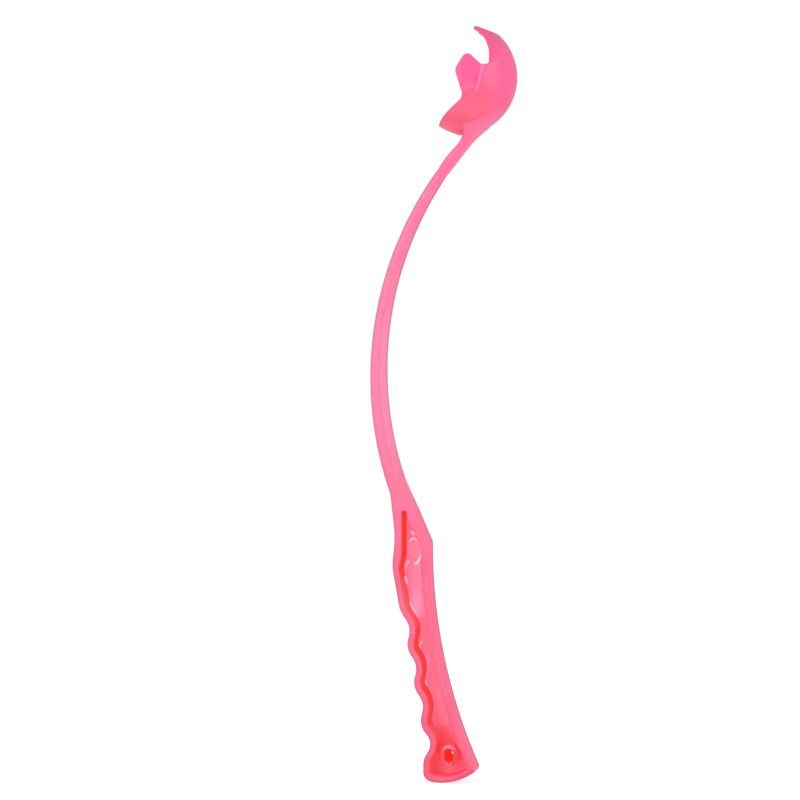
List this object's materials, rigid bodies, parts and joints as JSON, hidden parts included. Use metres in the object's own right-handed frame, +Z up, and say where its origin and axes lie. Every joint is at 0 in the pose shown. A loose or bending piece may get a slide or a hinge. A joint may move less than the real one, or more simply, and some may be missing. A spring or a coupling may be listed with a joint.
{
  "type": "dog ball launcher stick",
  "caption": "Bowed one-piece plastic throwing stick with a clawed ball cup at the top and a finger-grooved, pocketed handle with a hang hole at the bottom.",
  "frame": {"origin": "on the hang hole's axis, in the middle of the handle's thickness", "axes": "+Z runs up the stick from the butt to the ball cup, the cup's mouth faces -X, and Y is the stick's thickness with the open finger pocket facing -Y"},
  "size_m": [0.0919, 0.0692, 0.4716],
  "materials": {
    "cup_pink": "gloss",
    "arm_pink": "gloss",
    "handle_pink": "gloss"
  },
  "bodies": {
    "root": {"ball_cup": "cup_pink", "throwing_arm": "arm_pink", "handle": "handle_pink"}
  },
  "joints": []
}
